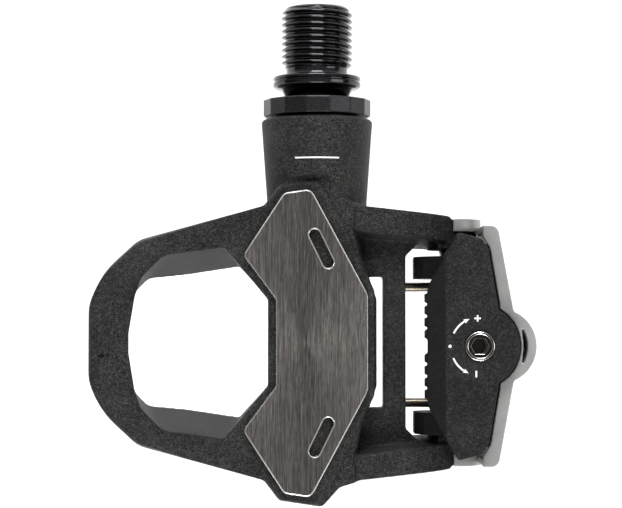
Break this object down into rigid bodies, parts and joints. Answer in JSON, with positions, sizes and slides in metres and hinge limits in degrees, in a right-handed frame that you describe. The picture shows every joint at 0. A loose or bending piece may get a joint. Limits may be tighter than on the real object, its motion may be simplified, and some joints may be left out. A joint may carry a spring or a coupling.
{
  "type": "clipless pedal",
  "caption": "Left road bicycle pedal with a nose loop, steel contact plate and a sprung rear latch that clips a cleat, on a threaded spindle.",
  "frame": {"origin": "centre of the spindle axis at the crank-side face of the spindle flange", "axes": "+Y along the threaded end towards the crank, +X rearward towards the latch, +Z out of the contact plate"},
  "size_m": [0.0866, 0.0988, 0.0284],
  "materials": {
    "spindle_steel": "glossy black oxide",
    "bearing_steel": "ground",
    "body_composite": "moulded fine grain",
    "latch_composite": "moulded fine grain",
    "plate_stainless": "brushed across the pedal, bright rolled edge",
    "nut_metal": "satin dark anodised",
    "seal_rubber": "matte",
    "spring_wire": "drawn wire",
    "cage_brass": "satin",
    "shell_paint": "satin light grey",
    "screw_steel": "turned"
  },
  "bodies": {
    "axle": {"spindle": "spindle_steel", "inner_races": "bearing_steel", "spindle_washer": "bearing_steel", "lock_nut": "bearing_steel"},
    "pedal_body": {"body_shell": "body_composite", "contact_plate": "plate_stainless", "plate_nuts": "bearing_steel", "cartridge_nut": "nut_metal", "lip_seal": "seal_rubber", "needle_cup": "bearing_steel", "spacer_tube": "bearing_steel", "outer_races": "bearing_steel", "bearing_shields": "bearing_steel", "pivot_pin": "bearing_steel", "arm_caps": "shell_paint", "torsion_spring": "spring_wire"},
    "needle_set": {"needle_rollers": "bearing_steel", "needle_cage": "cage_brass"},
    "ball_set_a": {"balls_a": "bearing_steel", "ball_cage_a": "cage_brass"},
    "ball_set_b": {"balls_b": "bearing_steel", "ball_cage_b": "cage_brass"},
    "latch": {"latch_jaw": "latch_composite", "latch_shell": "shell_paint", "pivot_bushings": "cage_brass", "screw_insert": "screw_steel"},
    "adjuster_seat": {"spring_seat": "screw_steel"},
    "adjuster_screw": {"tension_screw": "screw_steel"}
  },
  "joints": [
    {"name": "spindle_spin", "type": "hinge", "parent": "axle", "child": "pedal_body", "pos_m": [0, -0.053, 0], "axis": [0, 1, 0], "continuous": true},
    {"name": "needle_roll", "type": "hinge", "parent": "axle", "child": "needle_set", "pos_m": [0, -0.0255, 0], "axis": [0, 1, 0], "continuous": true},
    {"name": "ball_roll_a", "type": "hinge", "parent": "axle", "child": "ball_set_a", "pos_m": [0, -0.06, 0], "axis": [0, 1, 0], "continuous": true},
    {"name": "ball_roll_b", "type": "hinge", "parent": "axle", "child": "ball_set_b", "pos_m": [0, -0.066, 0], "axis": [0, 1, 0], "continuous": true},
    {"name": "latch_pivot", "type": "hinge", "parent": "pedal_body", "child": "latch", "pos_m": [0.027, -0.053, -0.002], "axis": [0, 1, 0], "range_deg": [0, 20], "stiffness_Nm_per_rad": 4, "springref_deg": -34.38, "deforming": ["torsion_spring"]},
    {"name": "screw_turn", "type": "hinge", "parent": "adjuster_seat", "child": "adjuster_screw", "pos_m": [0.0311, -0.0536, 0.01], "axis": [0, 0, 1], "range_deg": [-1320, 315]},
    {"name": "seat_slide", "type": "slide", "parent": "latch", "child": "adjuster_seat", "axis": [0, 0, 1], "range_m": [-0.00255, 0.0006], "deforming": ["torsion_spring"]}
  ],
  "couplings": [
    {"joint": "needle_roll", "follows": "spindle_spin", "ratio": 0.5792},
    {"joint": "ball_roll_a", "follows": "spindle_spin", "ratio": 0.6158},
    {"joint": "ball_roll_b", "follows": "spindle_spin", "ratio": 0.6158},
    {"joint": "screw_turn", "follows": "seat_slide", "rad_per_m": 8976}
  ]
}
